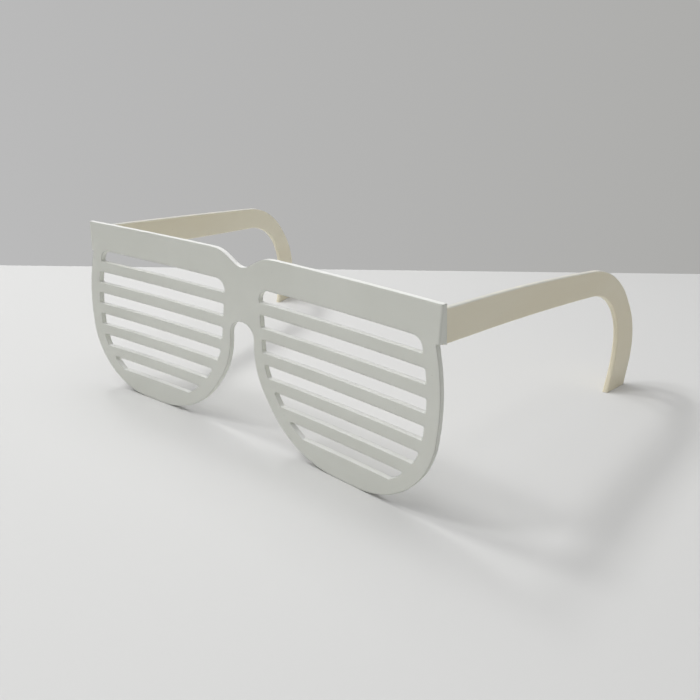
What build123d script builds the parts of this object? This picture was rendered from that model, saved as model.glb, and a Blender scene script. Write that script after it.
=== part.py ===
from build123d import *
from math import cos, degrees, radians, sin, sqrt, tan
import os

# Slatted novelty glasses: one moulded front with twelve open slots, and two flat temples
# that fold on pinned hinges. The front faces -Y, the temples run back towards +Y, and the
# wearer's left is +X. The glasses stand open on a table at z = 0, on the bottoms of both
# lenses and on the cut ends of both ear hooks. The origin is on the table, under their middle.

# Whole object, in millimetres and degrees
lens_half = 76.1
lens_depth = 62.4
temple_reach = 124.4
lean = 3.0

# Front plate
front_thickness = 1.8
front_bend_radius = 732.0
brow_end_height = 10.6
brow_corner_rounding = 0.5
nose_half_gap = 5.4
nose_top_drop = 22.3
dip_half_width = 9.5
dip_shoulder_half = 14.5
dip_depth = 5.4
dip_bottom_rounding = 6.0
dip_shoulder_rounding = 12.0

# Slots
slot_count = 6
slot_height = 4.4
slot_top_drop = 9.8
foot_height = 7.8
rim_width = 4.4
field_inner_half = 2.4
slot_corner_rounding = 0.6
slot_top_rounding = 3.6

# Ear: the block behind each end of the brow that the temple butts against
ear_step = 1.08
ear_wall = 2.8
ear_top_depth = 2.1
ear_bottom_depth = 3.75
ear_top_drop = 1.7
ear_bottom_drop = 11.4
butt_gap = 0.1

# Hinge: two lugs on the front, one tongue on the temple, one pin
hinge_back = 0.8
hinge_inset = 4.6
knuckle_radius = 1.5
lug_height = 1.9
lug_top_drop = 2.6
lug_gap = 0.15
tongue_height = 2.6
tongue_root = 5.5
pin_radius = 0.75
pin_press = 0.01
pin_running_gap = 0.05
pin_proud = 0.15
pin_chamfer = 0.15

# Temples
temple_thickness = 2.0
temple_inset = 1.8
temple_height = 10.0
hook_neck_height = 8.95
temple_fall = 4.55
temple_edge_rounding = 0.6
splay = 4.4
straight_run = 22.7
temple_bend_radius = 817.0

# Length by which cutting and trimming shapes run past what they cut
overrun = 3.0

# Lens outline: corner places as shares of lens_half and lens_depth, and each rounding's
# share of the shorter straight beside its corner
lens_top_share = 0.916
lens_side_drop_share = 0.386
lens_corner_share = 0.972
lens_inner_share = 0.300
nose_knee_drop_share = 0.601
lens_rounding_shares = (0.42, 0.655, 0.575, 0.55)
nose_top_rounding_share = 0.94

# Temple outline: corner places as shares of temple_reach, temple_fall and lens_depth, and
# roundings. The crown is where the top edge starts to fall faster.
crown_share = 0.362
crown_fall_share = 0.300
hook_top_share = 0.817
hook_back_drop_share = 0.541
hook_tip_share = 0.975
top_rounding_shares = (0.70, 0.48, 0.51)
hook_inner_top_share = 0.865
hook_inner_back_share = 0.895
hook_inner_back_drop_share = 0.706
hook_inner_tip_share = 0.871
hook_inner_rounding_shares = (0.29, 0.76)
# The hook's rearmost place, and the level there and at the front's foremost place
hook_rear_share = 0.982
widest_drop_share = 0.75

os.makedirs("parts", exist_ok=True)


def radii(points, shares):
    """Radii for the inner corners of an outline, each taking a share of its shorter side."""
    found = []
    for before, corner, after, share in zip(points, points[1:], points[2:], shares):
        one = Vector(*before) - Vector(*corner)
        two = Vector(*after) - Vector(*corner)
        half_angle = radians(one.get_angle(two)) / 2
        found.append(share * min(one.length, two.length) * tan(half_angle))
    return found


def bent_back(across, depth):
    """How far back the bent plate lies at a place across it, depth behind its front face."""
    radius = front_bend_radius + depth
    return sqrt(radius**2 - across**2) - front_bend_radius


# The whole front leans back, and its height puts the bottoms of the lenses on the table
lean_angle = radians(lean)
foot_half = lens_half * (lens_corner_share + lens_inner_share) / 2
stand_height = lens_depth * cos(lean_angle) + bent_back(foot_half, front_thickness) * sin(lean_angle)
hook_rear = hinge_back + temple_reach * hook_rear_share
middle_drop = lens_depth * widest_drop_share * sin(lean_angle)
middle_back = (hook_rear + bent_back(lens_half, 0)) / 2 - middle_drop

# Three planes through the middle of the brow's top edge: from above, from ahead, from the side
panel = Plane(
    origin=(0, -middle_back, stand_height),
    x_dir=(1, 0, 0),
    z_dir=(0, sin(lean_angle), cos(lean_angle)),
)
face_plane = Plane(origin=panel.origin, x_dir=panel.x_dir, z_dir=-panel.y_dir)
side_plane = Plane(origin=panel.origin, x_dir=panel.y_dir, z_dir=panel.x_dir)

# Corners of one half of the front, from the brow round the lens to the nose gap's top
lens_corners = [
    (lens_half * lens_top_share, 0),
    (lens_half, -lens_depth * lens_side_drop_share),
    (lens_half * lens_corner_share, -lens_depth),
    (lens_half * lens_inner_share, -lens_depth),
    (nose_half_gap, -lens_depth * nose_knee_drop_share),
]
half_corners = [*lens_corners, (nose_half_gap, -nose_top_drop), (0, -nose_top_drop)]
half_radii = radii(half_corners, [*lens_rounding_shares, nose_top_rounding_share])


def side_half(drop):
    """Half the lenses' width on the straight part of their sides, so far below the brow's top."""
    top_half = lens_half * lens_top_share
    corner_drop = lens_depth * lens_side_drop_share
    return top_half + (lens_half - top_half) * drop / corner_drop


# Places shared by the plate, the slots, the ears, the lugs and the temples
brow_end_half = side_half(brow_end_height) + ear_step
plate_half = lens_half + overrun
plate_reach = front_thickness - bent_back(plate_half, 0) + overrun
plate_middle = bent_back(brow_end_half, front_thickness / 2)
plate_back = bent_back(brow_end_half, front_thickness)
joint_top = (bent_back(brow_end_half, ear_top_depth), -ear_top_drop)
joint_bottom = (bent_back(brow_end_half, ear_bottom_depth), -ear_bottom_drop)
joint_slope = (joint_bottom[0] - joint_top[0]) / (joint_top[1] - joint_bottom[1])
slots_bottom_drop = lens_depth - foot_height
slot_pitch = (slots_bottom_drop - slot_top_drop - slot_height) / (slot_count - 1)
hinge_half = brow_end_half - hinge_inset
temple_half = brow_end_half - temple_inset
tongue_top_drop = lug_top_drop + lug_height + lug_gap
low_lug_top_drop = tongue_top_drop + tongue_height + lug_gap


def is_upright(edge):
    """True for an edge along the front's own upward direction."""
    return abs(edge.tangent_at().dot(panel.z_dir)) > cos(lean_angle)


def is_on_table(edge):
    """True for an edge that lies on the table."""
    return edge.center().Z < butt_gap


def at_brow_corner(edge):
    """True for the upright edge where the brow's front face meets its end."""
    place = panel.to_local_coords(edge.center())
    return is_upright(edge) and abs(place.X) > brow_end_half - butt_gap and place.Y < plate_middle


# Ear: a short wall behind the end of the brow, with two lugs on its inside for the pin
with BuildPart() as ear:
    with BuildSketch(side_plane.offset(brow_end_half - ear_wall)):
        with BuildLine():
            Polyline(
                (plate_middle, 0),
                (plate_back, 0),
                joint_top,
                joint_bottom,
                (plate_back, -brow_end_height),
                (plate_middle, -brow_end_height),
                close=True,
            )
        make_face()
    extrude(amount=ear_wall)
    for lug_drop in (lug_top_drop, low_lug_top_drop):
        with BuildSketch(panel.offset(-lug_drop)):
            with Locations((hinge_half, hinge_back)):
                Circle(knuckle_radius)
                Rectangle(
                    2 * knuckle_radius,
                    hinge_back - bent_back(hinge_half, front_thickness / 2),
                    align=(Align.CENTER, Align.MAX),
                )
        extrude(amount=-lug_height)
    with BuildSketch(panel):
        with Locations((hinge_half, hinge_back)):
            Circle(pin_radius - pin_press)
    extrude(amount=-ear_bottom_drop, mode=Mode.SUBTRACT)

# Front: the outline is one half from the brow round the lens to the nose gap, mirrored
with BuildPart() as front_frame:
    with BuildSketch(face_plane):
        with BuildLine():
            FilletPolyline(*half_corners, radius=half_radii)
            Polyline(half_corners[-1], (0, 0), half_corners[0])
        make_face()
        Rectangle(brow_end_half, brow_end_height, align=(Align.MIN, Align.MAX))
        mirror(about=Plane.YZ)
        # Dip in the middle of the brow, with soft shoulders
        with BuildLine():
            dip = [
                (-dip_shoulder_half, 0),
                (-dip_half_width, 0),
                (0, -dip_depth),
                (dip_half_width, 0),
                (dip_shoulder_half, 0),
            ]
            dip_roundings = [dip_shoulder_rounding, dip_bottom_rounding, dip_shoulder_rounding]
            FilletPolyline(*dip, radius=dip_roundings)
            Polyline(dip[-1], (dip_shoulder_half, overrun), (-dip_shoulder_half, overrun), dip[0])
        make_face(mode=Mode.SUBTRACT)
    extrude(amount=plate_reach, both=True)

    # Slots: the lens drawn in by its rim, less the slats and the lens's foot, with soft corners
    with BuildSketch(face_plane):
        field_drop = slot_top_drop - rim_width
        field_outer_corner = (side_half(field_drop), -field_drop)
        field = [field_outer_corner, *lens_corners[1:], (field_inner_half, -field_drop)]
        top_radius = slot_top_rounding + rim_width
        with BuildLine():
            FilletPolyline(*field, radius=[top_radius, *half_radii[:-1], top_radius], close=True)
        make_face()
        offset(amount=-rim_width, kind=Kind.INTERSECTION)
        for slat in range(1, slot_count):
            with Locations((0, -slot_top_drop - slat * slot_pitch)):
                Rectangle(
                    2 * lens_half,
                    slot_pitch - slot_height,
                    align=(Align.CENTER, Align.MIN),
                    mode=Mode.SUBTRACT,
                )
        with Locations((0, -slots_bottom_drop)):
            Rectangle(2 * lens_half, lens_depth, align=(Align.CENTER, Align.MAX), mode=Mode.SUBTRACT)
        offset(amount=-slot_corner_rounding, kind=Kind.INTERSECTION)
        offset(amount=slot_corner_rounding, kind=Kind.ARC)
        mirror(about=Plane.YZ)
    extrude(amount=plate_reach, both=True, mode=Mode.SUBTRACT)

    # The bend: only what lies between two arcs, seen from above, is kept
    with BuildSketch(panel.offset(-lens_depth - overrun)):
        with BuildLine():
            front_end = (plate_half, bent_back(plate_half, 0))
            back_end = (plate_half, bent_back(plate_half, front_thickness))
            front_start = (-plate_half, bent_back(plate_half, 0))
            back_start = (-plate_half, bent_back(plate_half, front_thickness))
            ThreePointArc(front_start, (0, 0), front_end)
            Line(front_end, back_end)
            ThreePointArc(back_end, (0, front_thickness), back_start)
            Line(back_start, front_start)
        make_face()
    extrude(amount=lens_depth + 2 * overrun, mode=Mode.INTERSECT)

    # Soft corners at the ends of the brow, and the ears behind them
    fillet(edges().filter_by(at_brow_corner), radius=brow_corner_rounding)
    add(ear.part)
    mirror(ear.part, about=Plane.YZ)
front_frame.part.label = "front_frame"
export_step(front_frame.part, "parts/front_frame.step")

# Temple: a side outline, kept only where it lies in a strip that is straight by the hinge
# and then bows outwards
with BuildPart() as temple_left:
    with BuildSketch(side_plane):
        hook_top = (temple_reach * hook_top_share, -ear_top_drop - temple_fall)
        inner_top = (temple_reach * hook_inner_top_share, hook_top[1] - hook_neck_height)
        temple_root = (
            joint_top[0] + butt_gap + temple_height * joint_slope,
            -ear_top_drop - temple_height,
        )
        outer_edge = [
            (joint_top[0] + butt_gap, -ear_top_drop),
            (temple_reach * crown_share, -ear_top_drop - temple_fall * crown_fall_share),
            hook_top,
            (temple_reach, -lens_depth * hook_back_drop_share),
            (temple_reach * hook_tip_share, -lens_depth),
        ]
        inner_edge = [
            (temple_reach * hook_inner_tip_share, -lens_depth),
            (temple_reach * hook_inner_back_share, -lens_depth * hook_inner_back_drop_share),
            inner_top,
            temple_root,
        ]
        with BuildLine():
            FilletPolyline(*outer_edge, radius=radii(outer_edge, top_rounding_shares))
            Line(outer_edge[-1], inner_edge[0])
            FilletPolyline(*inner_edge, radius=radii(inner_edge, hook_inner_rounding_shares))
            Line(inner_edge[-1], outer_edge[0])
        make_face()
    extrude(amount=2 * temple_half)
    with BuildSketch(panel.offset(-lens_depth - overrun)):
        with BuildLine():
            run = PolarLine((temple_half, plate_back), straight_run, 90 - splay)
            JernArc(
                start=run @ 1,
                tangent=run % 1,
                radius=temple_bend_radius,
                arc_size=-degrees(temple_reach / temple_bend_radius),
            )
        trace(line_width=temple_thickness)
    extrude(amount=lens_depth + 2 * overrun, mode=Mode.INTERSECT)
    split(bisect_by=Plane.XY, keep=Keep.TOP)
    broad_faces = faces().sort_by(SortBy.AREA)[-4:]
    long_edges = broad_faces.edges().filter_by(is_upright, reverse=True).filter_by(is_on_table, reverse=True)
    fillet(long_edges, radius=temple_edge_rounding)

    # Tongue: a rounded end about the pin, on a root that widens into the strip
    with BuildSketch(panel.offset(-tongue_top_drop)):
        with Locations((hinge_half, hinge_back)):
            Circle(knuckle_radius)
        with BuildLine():
            Polyline(
                (hinge_half, hinge_back),
                (temple_half, hinge_back),
                (temple_half, hinge_back + tongue_root),
                (hinge_half, hinge_back + knuckle_radius),
                close=True,
            )
        make_face()
    extrude(amount=-tongue_height)
    with BuildSketch(panel):
        with Locations((hinge_half, hinge_back)):
            Circle(pin_radius + pin_running_gap)
    extrude(amount=-ear_bottom_drop, mode=Mode.SUBTRACT)
temple_left.part.label = "temple_left"
export_step(temple_left.part, "parts/temple_left.step")

with BuildPart() as temple_right:
    mirror(temple_left.part, about=Plane.YZ)
temple_right.part.label = "temple_right"
export_step(temple_right.part, "parts/temple_right.step")

# Hinge pin: pressed into both lugs, with the tongue turning on its middle
with BuildPart() as hinge_pin_left:
    with BuildSketch(panel.offset(-lug_top_drop + pin_proud)):
        with Locations((hinge_half, hinge_back)):
            Circle(pin_radius)
    extrude(amount=-low_lug_top_drop - lug_height + lug_top_drop - 2 * pin_proud)
    chamfer(edges().filter_by(GeomType.CIRCLE), length=pin_chamfer)
hinge_pin_left.part.label = "hinge_pin_left"
export_step(hinge_pin_left.part, "parts/hinge_pin_left.step")

with BuildPart() as hinge_pin_right:
    mirror(hinge_pin_left.part, about=Plane.YZ)
hinge_pin_right.part.label = "hinge_pin_right"
export_step(hinge_pin_right.part, "parts/hinge_pin_right.step")
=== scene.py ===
from math import cos, radians, sin

import bpy
from mathutils import Matrix, Vector


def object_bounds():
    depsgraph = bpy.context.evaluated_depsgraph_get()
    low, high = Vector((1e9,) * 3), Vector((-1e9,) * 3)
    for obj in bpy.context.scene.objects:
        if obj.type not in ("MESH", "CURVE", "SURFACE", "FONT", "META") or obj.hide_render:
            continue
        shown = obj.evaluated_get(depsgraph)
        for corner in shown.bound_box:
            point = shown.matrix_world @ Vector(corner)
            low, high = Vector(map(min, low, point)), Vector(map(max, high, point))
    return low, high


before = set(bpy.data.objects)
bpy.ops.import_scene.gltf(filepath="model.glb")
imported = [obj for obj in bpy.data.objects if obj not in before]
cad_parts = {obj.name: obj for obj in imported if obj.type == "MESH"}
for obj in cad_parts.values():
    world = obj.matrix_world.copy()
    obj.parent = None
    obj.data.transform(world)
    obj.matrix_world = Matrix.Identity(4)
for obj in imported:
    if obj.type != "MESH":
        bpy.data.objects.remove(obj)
cad_box = [list(corner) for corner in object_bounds()]

# Front
# One injection moulding in white plastic: the brow, both slatted lenses, the bridge and the
# ears with their hinge lugs. Its satin skin comes from the mould's fine texture, and its tone
# is slightly uneven where the plastic flowed round the slots. The temples share its effects.
front_white = (0.812, 0.823, 0.763, 1)
front_flow_tint = (0.773, 0.784, 0.720, 1)
plastic_ior = 1.49
grain_depth = 0.00004
wave_share = 0.8
edge_samples = 4
speck_share = 0.35
rubbed_share = 0.5
rubbed_gloss = -0.15


def new_group(name, inputs, outputs):
    """An empty node group with number inputs and the named outputs, and its two end nodes."""
    group = bpy.data.node_groups.new(name, "ShaderNodeTree")
    for socket, value in inputs.items():
        made = group.interface.new_socket(name=socket, in_out="INPUT", socket_type="NodeSocketFloat")
        made.default_value = value
    for socket, kind in outputs.items():
        group.interface.new_socket(name=socket, in_out="OUTPUT", socket_type=kind)
    return group, group.nodes.new("NodeGroupInput"), group.nodes.new("NodeGroupOutput")


def add_node(tree, kind, inputs=None, **settings):
    """A new node in a tree, with its settings, and its inputs set to numbers or joined to sockets."""
    node = tree.nodes.new(kind)
    for name, value in settings.items():
        setattr(node, name, value)
    for name, value in (inputs or {}).items():
        if isinstance(value, bpy.types.NodeSocket):
            tree.links.new(value, node.inputs[name])
        else:
            node.inputs[name].default_value = value
    return node


def moulded_skin():
    """The mould's fine texture as a height, and how much the gloss varies over the surface."""
    group, given, made = new_group(
        "moulded_skin",
        {"Grain per Metre": 2600, "Wave per Metre": 160, "Roughness": 0.42, "Unevenness": 0.08},
        {"Height": "NodeSocketFloat", "Roughness": "NodeSocketFloat"},
    )
    place = add_node(group, "ShaderNodeTexCoord").outputs["Object"]
    grain = add_node(
        group,
        "ShaderNodeTexNoise",
        {"Vector": place, "Scale": given.outputs["Grain per Metre"], "Detail": 3, "Roughness": 0.6},
    )
    wave = add_node(
        group,
        "ShaderNodeTexNoise",
        {"Vector": place, "Scale": given.outputs["Wave per Metre"], "Detail": 2, "Roughness": 0.5},
    )
    height = add_node(group, "ShaderNodeMath", operation="MULTIPLY_ADD")
    group.links.new(wave.outputs["Fac"], height.inputs[0])
    height.inputs[1].default_value = wave_share
    group.links.new(grain.outputs["Fac"], height.inputs[2])
    centred = add_node(
        group,
        "ShaderNodeMapRange",
        {"Value": wave.outputs["Fac"], "To Min": -0.5, "To Max": 0.5},
    )
    rough = add_node(group, "ShaderNodeMath", operation="MULTIPLY_ADD")
    group.links.new(centred.outputs[0], rough.inputs[0])
    group.links.new(given.outputs["Unevenness"], rough.inputs[1])
    group.links.new(given.outputs["Roughness"], rough.inputs[2])
    group.links.new(height.outputs[0], made.inputs["Height"])
    group.links.new(rough.outputs[0], made.inputs["Roughness"])
    return group


def flow_clouds():
    """Soft clouds and long streaks, from 0 to 1, where the plastic's tone differs."""
    group, given, made = new_group(
        "flow_clouds",
        {"Clouds per Metre": 28, "Stretch X": 1, "Stretch Y": 1, "Stretch Z": 1},
        {"Mask": "NodeSocketFloat"},
    )
    stretch = add_node(
        group,
        "ShaderNodeCombineXYZ",
        {
            "X": given.outputs["Stretch X"],
            "Y": given.outputs["Stretch Y"],
            "Z": given.outputs["Stretch Z"],
        },
    )
    place = add_node(group, "ShaderNodeVectorMath", operation="MULTIPLY")
    group.links.new(add_node(group, "ShaderNodeTexCoord").outputs["Object"], place.inputs[0])
    group.links.new(stretch.outputs[0], place.inputs[1])
    clouds = add_node(
        group,
        "ShaderNodeTexNoise",
        {
            "Vector": place.outputs[0],
            "Scale": given.outputs["Clouds per Metre"],
            "Detail": 4,
            "Roughness": 0.55,
            "Distortion": 0.6,
        },
    )
    spread = add_node(
        group,
        "ShaderNodeMapRange",
        {"Value": clouds.outputs["Fac"], "From Min": 0.3, "From Max": 0.7},
        interpolation_type="SMOOTHSTEP",
    )
    group.links.new(spread.outputs[0], made.inputs["Mask"])
    return group


def dust_specks():
    """Tiny grey specks of dust and scuffs, as a mask from 0 to 1."""
    group, given, made = new_group(
        "dust_specks",
        {"Specks per Metre": 420, "Speck Size": 0.07},
        {"Mask": "NodeSocketFloat"},
    )
    place = add_node(group, "ShaderNodeTexCoord").outputs["Object"]
    cells = add_node(
        group,
        "ShaderNodeTexVoronoi",
        {"Vector": place, "Scale": given.outputs["Specks per Metre"], "Randomness": 1},
    )
    near = add_node(group, "ShaderNodeMath", operation="LESS_THAN")
    group.links.new(cells.outputs["Distance"], near.inputs[0])
    group.links.new(given.outputs["Speck Size"], near.inputs[1])
    patches = add_node(
        group,
        "ShaderNodeTexNoise",
        {"Vector": place, "Scale": 90, "Detail": 2},
    )
    some = add_node(
        group,
        "ShaderNodeMapRange",
        {"Value": patches.outputs["Fac"], "From Min": 0.48, "From Max": 0.66},
    )
    both = add_node(group, "ShaderNodeMath", operation="MULTIPLY")
    group.links.new(near.outputs[0], both.inputs[0])
    group.links.new(some.outputs[0], both.inputs[1])
    group.links.new(both.outputs[0], made.inputs["Mask"])
    return group


def soft_edges():
    """The small rounding that a mould leaves on every edge, as a normal, and where handling has
    rubbed it smooth, as a mask from 0 to 1."""
    group, given, made = new_group(
        "soft_edges",
        {"Edge Width": 0.0003, "Breaks per Metre": 300},
        {"Normal": "NodeSocketVector", "Mask": "NodeSocketFloat"},
    )
    width = given.outputs["Edge Width"]
    rounded = add_node(group, "ShaderNodeBevel", {"Radius": width}, samples=edge_samples)
    true_face = add_node(group, "ShaderNodeNewGeometry").outputs["Normal"]
    agree = add_node(group, "ShaderNodeVectorMath", operation="DOT_PRODUCT")
    group.links.new(rounded.outputs[0], agree.inputs[0])
    group.links.new(true_face, agree.inputs[1])
    edge = add_node(
        group,
        "ShaderNodeMapRange",
        {"Value": agree.outputs["Value"], "From Min": 0.995, "From Max": 0.86},
    )
    place = add_node(group, "ShaderNodeTexCoord").outputs["Object"]
    breaks = add_node(
        group,
        "ShaderNodeTexNoise",
        {"Vector": place, "Scale": given.outputs["Breaks per Metre"], "Detail": 2},
    )
    broken = add_node(group, "ShaderNodeMath", operation="MULTIPLY")
    group.links.new(edge.outputs[0], broken.inputs[0])
    group.links.new(breaks.outputs["Fac"], broken.inputs[1])
    group.links.new(rounded.outputs[0], made.inputs["Normal"])
    group.links.new(broken.outputs[0], made.inputs["Mask"])
    return group


def painted_top_shading():
    """Faces that look up, in patches, as a mask from 0 to 1, for a tone painted on them as light or
    shade.
    """
    group, given, made = new_group(
        "painted_top_shading",
        {"Patches per Metre": 120},
        {"Mask": "NodeSocketFloat"},
    )
    face = add_node(group, "ShaderNodeSeparateXYZ")
    group.links.new(add_node(group, "ShaderNodeNewGeometry").outputs["Normal"], face.inputs[0])
    looks_up = add_node(
        group,
        "ShaderNodeMapRange",
        {"Value": face.outputs["Z"], "From Min": 0.3, "From Max": 0.8},
    )
    patches = add_node(
        group,
        "ShaderNodeTexNoise",
        {
            "Vector": add_node(group, "ShaderNodeTexCoord").outputs["Object"],
            "Scale": given.outputs["Patches per Metre"],
            "Detail": 3,
        },
    )
    top_shading_tone = add_node(
        group,
        "ShaderNodeMapRange",
        {"Value": patches.outputs["Fac"], "From Min": 0.35, "From Max": 0.6, "To Min": 0.7},
    )
    both = add_node(group, "ShaderNodeMath", operation="MULTIPLY")
    group.links.new(looks_up.outputs[0], both.inputs[0])
    group.links.new(top_shading_tone.outputs[0], both.inputs[1])
    group.links.new(both.outputs[0], made.inputs["Mask"])
    return group


effects = {
    "skin": moulded_skin(),
    "clouds": flow_clouds(),
    "dust": dust_specks(),
    "edges": soft_edges(),
    "top_shading_tone": painted_top_shading(),
}


def place_effect(tree, effect, values):
    """One of the shared effects in a material, with that material's own values."""
    node = add_node(tree, "ShaderNodeGroup", node_tree=effects[effect])
    for name, value in values.items():
        node.inputs[name].default_value = value
    return node


def mix_colours(tree, share, first, second):
    """The colour output of a mix between two colours or colour sockets."""
    node = add_node(tree, "ShaderNodeMix", data_type="RGBA")
    tree.links.new(share, node.inputs["Factor"])
    for socket, value in (("A", first), ("B", second)):
        slot = next(s for s in node.inputs if s.name == socket and s.type == "RGBA")
        if isinstance(value, bpy.types.NodeSocket):
            tree.links.new(value, slot)
        else:
            slot.default_value = value
    return next(s for s in node.outputs if s.type == "RGBA")


def scaled(tree, value, factor):
    """A value socket times a number."""
    node = add_node(tree, "ShaderNodeMath", operation="MULTIPLY")
    tree.links.new(value, node.inputs[0])
    node.inputs[1].default_value = factor
    return node.outputs[0]


def moulded_plastic(name, colour, tint, dust, top_shading_tone, top_shading_share, skin, clouds, edge, bump):
    """Satin moulded plastic from the shared effects, with a painted tone on faces that look up."""
    material = bpy.data.materials.new(name)
    material.use_nodes = True
    tree = material.node_tree
    shader = tree.nodes["Principled BSDF"]
    skin_node = place_effect(tree, "skin", skin)
    cloud_mask = place_effect(tree, "clouds", clouds).outputs["Mask"]
    dust_mask = place_effect(tree, "dust", {}).outputs["Mask"]
    edges = place_effect(tree, "edges", edge)
    body = mix_colours(tree, cloud_mask, colour, tint)
    dusty = mix_colours(tree, scaled(tree, dust_mask, speck_share), body, dust)
    rubbed = mix_colours(tree, scaled(tree, edges.outputs["Mask"], rubbed_share), dusty, colour)
    # Faces that look up get painted light on the white front and painted shade on the ivory temples.
    top_shading_mask = place_effect(tree, "top_shading_tone", {}).outputs["Mask"]
    top_shaded = mix_colours(tree, scaled(tree, top_shading_mask, top_shading_share), rubbed, top_shading_tone)
    tree.links.new(top_shaded, shader.inputs["Base Color"])
    smoother = add_node(tree, "ShaderNodeMath", operation="MULTIPLY_ADD")
    tree.links.new(edges.outputs["Mask"], smoother.inputs[0])
    smoother.inputs[1].default_value = rubbed_gloss
    tree.links.new(skin_node.outputs["Roughness"], smoother.inputs[2])
    tree.links.new(smoother.outputs[0], shader.inputs["Roughness"])
    relief = add_node(tree, "ShaderNodeBump", {"Strength": bump, "Distance": grain_depth})
    tree.links.new(skin_node.outputs["Height"], relief.inputs["Height"])
    tree.links.new(edges.outputs["Normal"], relief.inputs["Normal"])
    tree.links.new(relief.outputs["Normal"], shader.inputs["Normal"])
    shader.inputs["IOR"].default_value = plastic_ior
    return material


front_material = moulded_plastic(
    "white_moulded_plastic",
    front_white,
    front_flow_tint,
    dust=(0.42, 0.40, 0.36, 1),
    # A pale tone on faces that look up: a painted highlight on the front's top faces.
    top_shading_tone=(0.86, 0.86, 0.85, 1),
    top_shading_share=0.8,
    skin={"Grain per Metre": 2600, "Roughness": 0.43, "Unevenness": 0.10},
    clouds={"Clouds per Metre": 26},
    edge={"Edge Width": 0.0006},
    bump=0.35,
)


def dress(node, material):
    """Gives a CAD piece its material."""
    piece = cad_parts[node]
    piece.data.materials.clear()
    piece.data.materials.append(material)


dress("front_frame", front_material)

# Temples
# Two ivory plastic mouldings, each a flat strip that bends down into an ear hook, with the
# hinge tongue on its front end. The plastic has yellowed a little, unevenly along its length.
temple_ivory = (0.905, 0.850, 0.675, 1)
temple_aged_tint = (0.885, 0.815, 0.625, 1)
temple_material = moulded_plastic(
    "ivory_moulded_plastic",
    temple_ivory,
    temple_aged_tint,
    dust=(0.36, 0.33, 0.26, 1),
    # A darker tone on faces that look up: painted shade on the temples' top faces.
    top_shading_tone=(0.62, 0.62, 0.585, 1),
    top_shading_share=0.9,
    skin={"Grain per Metre": 2200, "Roughness": 0.40, "Unevenness": 0.12},
    clouds={"Clouds per Metre": 40, "Stretch Y": 0.3},
    edge={"Edge Width": 0.0003},
    bump=0.4,
)
for node in ("temple_left", "temple_right"):
    dress(node, temple_material)

# Hinge pins
# A short steel pin in each hinge, cut from drawn wire and pressed through both lugs, with fine
# lines along its sides from the drawing.
pin_steel = (0.62, 0.61, 0.58, 1)
pin_line_stretch = (1, 1, 0.05)
pin_lines_per_metre = 9000
pin_line_depth = 0.00001


def drawn_steel():
    """Bright steel with fine lines along the pin."""
    material = bpy.data.materials.new("drawn_steel")
    material.use_nodes = True
    tree = material.node_tree
    shader = tree.nodes["Principled BSDF"]
    shader.inputs["Base Color"].default_value = pin_steel
    shader.inputs["Metallic"].default_value = 1
    place = add_node(tree, "ShaderNodeVectorMath", operation="MULTIPLY")
    tree.links.new(add_node(tree, "ShaderNodeTexCoord").outputs["Object"], place.inputs[0])
    place.inputs[1].default_value = pin_line_stretch
    lines = add_node(
        tree,
        "ShaderNodeTexNoise",
        {"Vector": place.outputs[0], "Scale": pin_lines_per_metre, "Detail": 3},
    )
    rough = add_node(
        tree,
        "ShaderNodeMapRange",
        {"Value": lines.outputs["Fac"], "To Min": 0.26, "To Max": 0.44},
    )
    tree.links.new(rough.outputs[0], shader.inputs["Roughness"])
    relief = add_node(tree, "ShaderNodeBump", {"Strength": 0.3, "Distance": pin_line_depth})
    tree.links.new(lines.outputs["Fac"], relief.inputs["Height"])
    tree.links.new(relief.outputs["Normal"], shader.inputs["Normal"])
    return material


steel_material = drawn_steel()
for node in ("hinge_pin_left", "hinge_pin_right"):
    dress(node, steel_material)

# Camera
# The photograph's own viewpoint: ahead of the wearer's left lens and above it.
camera_place = (0.153152, -0.204018, 0.118244)
camera_right = Vector((0.79588, 0.60538, 0.01030))
camera_up = Vector((-0.24140, 0.30168, 0.92234))
camera_back = Vector((0.55525, -0.73655, 0.38624))
film_width = 36
focal_length = 36
nearest_seen = 0.005

camera_data = bpy.data.cameras.new("camera")
camera_data.sensor_width = film_width
camera_data.lens = focal_length
camera_data.clip_start = nearest_seen
camera = bpy.data.objects.new("camera", camera_data)
bpy.context.scene.collection.objects.link(camera)
turn = Matrix((camera_right, camera_up, camera_back)).transposed()
camera.matrix_world = Matrix.Translation(camera_place) @ turn.to_4x4()
bpy.context.scene.camera = camera

# Table and wall
# A pale matt table top, and a grey wall behind it, darkened a little to the right by painted
# shade, that only the camera sees, and only from ahead. They hold the picture together and are no
# part of the object.
table_reach = 3.0
table_white = (0.650, 0.650, 0.644, 1)
table_roughness = 0.7
table_shine = 0.3
wall_place = Vector((-0.0931, 0.1210, 0))
wall_along = Vector((0.8013, 0.5982, 0))
wall_half = 1.5
wall_height = 1.2
wall_left_grey = (0.500, 0.500, 0.502, 1)
wall_right_grey = (0.400, 0.398, 0.385, 1)
wall_grey_span = (-0.25, 0.30)


def staged_sheet(name, corners, material):
    """A flat sheet of the picture's surroundings, which isn't part of the object."""
    mesh = bpy.data.meshes.new(name)
    mesh.from_pydata(corners, [], [(0, 1, 2, 3)])
    mesh.materials.append(material)
    made = bpy.data.objects.new(name, mesh)
    bpy.context.scene.collection.objects.link(made)
    return made


def table_paint():
    """Plain matt pale paint."""
    material = bpy.data.materials.new("pale_table")
    material.use_nodes = True
    shader = material.node_tree.nodes["Principled BSDF"]
    shader.inputs["Base Color"].default_value = table_white
    shader.inputs["Roughness"].default_value = table_roughness
    shader.inputs["Specular IOR Level"].default_value = table_shine
    return material


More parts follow.
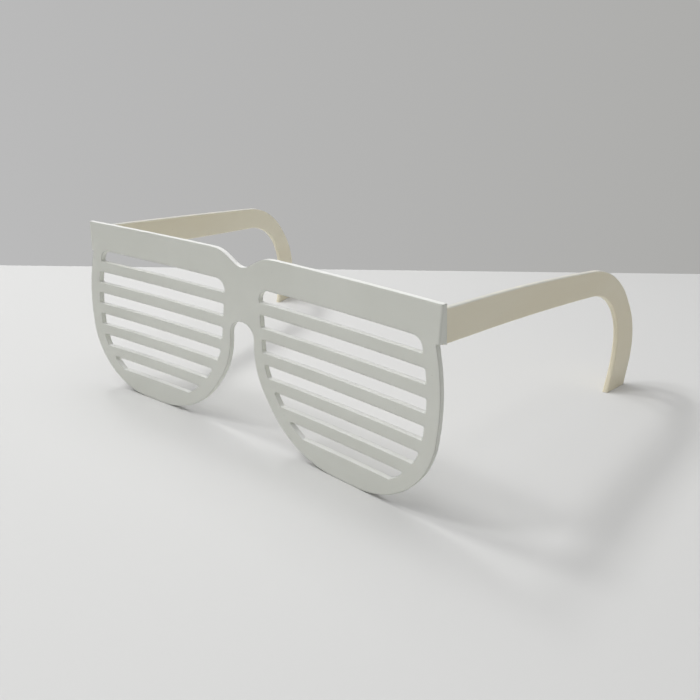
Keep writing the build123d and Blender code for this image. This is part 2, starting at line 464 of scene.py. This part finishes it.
def wall_paint():
    """Grey with painted shade that darkens it a little to the right, and can't be seen from behind.
    """
    material = bpy.data.materials.new("grey_wall")
    material.use_nodes = True
    tree = material.node_tree
    tree.nodes.clear()
    place = add_node(tree, "ShaderNodeTexCoord").outputs["Object"]
    along = add_node(tree, "ShaderNodeVectorMath", operation="DOT_PRODUCT")
    tree.links.new(place, along.inputs[0])
    along.inputs[1].default_value = wall_along
    share = add_node(
        tree,
        "ShaderNodeMapRange",
        {
            "Value": along.outputs["Value"],
            "From Min": wall_grey_span[0],
            "From Max": wall_grey_span[1],
        },
    )
    # The darkening to the right is painted shade.
    grey = mix_colours(tree, share.outputs[0], wall_left_grey, wall_right_grey)
    paint = add_node(tree, "ShaderNodeEmission", {"Color": grey, "Strength": 1})
    nothing = add_node(tree, "ShaderNodeBsdfTransparent")
    side = add_node(tree, "ShaderNodeNewGeometry").outputs["Backfacing"]
    either = add_node(tree, "ShaderNodeMixShader")
    tree.links.new(side, either.inputs[0])
    tree.links.new(paint.outputs[0], either.inputs[1])
    tree.links.new(nothing.outputs[0], either.inputs[2])
    output = add_node(tree, "ShaderNodeOutputMaterial")
    tree.links.new(either.outputs[0], output.inputs["Surface"])
    return material


table_level = cad_box[0][2]
staged_sheet(
    "table_top",
    [
        (x * table_reach, y * table_reach, table_level)
        for x, y in ((-1, -1), (1, -1), (1, 1), (-1, 1))
    ],
    table_paint(),
)
wall = staged_sheet(
    "wall",
    [
        wall_place + wall_along * along + Vector((0, 0, up))
        for along, up in (
            (-wall_half, table_level),
            (wall_half, table_level),
            (wall_half, wall_height),
            (-wall_half, wall_height),
        )
    ],
    wall_paint(),
)
wall.visible_diffuse = False
wall.visible_glossy = False
wall.visible_transmission = False
wall.visible_shadow = False

# Light
# A broad softbox overhead, three weaker soft lamps in a row, high on the wearer's right, and
# even light that is stronger from above. What the camera, gloss and glass see past the table
# is a plain pale grey.
light_aim = Vector((0, 0, 0.03))
lamp_distance = 1.0
lamp_height_angle = 55
lamp_size = 0.14
lamp_bearings_and_watts = ((218, 1.5), (190, 2.0), (161, 1.0))
softbox_place = Vector((-0.15, 0, 1.0))
softbox_size = 1.2
softbox_watts = 6.6
light_from_level = 0.19
light_from_above = 0.35
seen_grey = 0.48


def soft_lamp(name, place, size, watts):
    """A square lamp that faces the glasses."""
    data = bpy.data.lights.new(name, "AREA")
    data.shape = "SQUARE"
    data.size = size
    data.energy = watts
    made = bpy.data.objects.new(name, data)
    made.location = place
    made.rotation_euler = (light_aim - place).to_track_quat("-Z", "Y").to_euler()
    bpy.context.scene.collection.objects.link(made)


soft_lamp("softbox", softbox_place, softbox_size, softbox_watts)
for bearing, watts in lamp_bearings_and_watts:
    across, up = cos(radians(lamp_height_angle)), sin(radians(lamp_height_angle))
    towards = Vector((across * cos(radians(bearing)), across * sin(radians(bearing)), up))
    soft_lamp("row_lamp", light_aim + towards * lamp_distance, lamp_size, watts)

world = bpy.data.worlds.new("even_light")
bpy.context.scene.world = world
world.use_nodes = True
sky = world.node_tree
sky.nodes["Background"].inputs["Color"].default_value = (1, 1, 1, 1)
direction = add_node(sky, "ShaderNodeSeparateXYZ")
sky.links.new(add_node(sky, "ShaderNodeTexCoord").outputs["Generated"], direction.inputs[0])
given_light = add_node(
    sky,
    "ShaderNodeMapRange",
    {"Value": direction.outputs["Z"], "To Min": light_from_level, "To Max": light_from_above},
)
ray = add_node(sky, "ShaderNodeLightPath")
seen = ray.outputs["Is Camera Ray"]
for ray_kind in ("Is Transmission Ray", "Is Glossy Ray"):
    either = add_node(sky, "ShaderNodeMath", operation="MAXIMUM")
    sky.links.new(seen, either.inputs[0])
    sky.links.new(ray.outputs[ray_kind], either.inputs[1])
    seen = either.outputs[0]
strength = add_node(
    sky,
    "ShaderNodeMapRange",
    {"Value": seen, "To Min": given_light.outputs[0], "To Max": seen_grey},
)
sky.links.new(strength.outputs[0], sky.nodes["Background"].inputs["Strength"])
bpy.context.scene.view_settings.view_transform = "Standard"
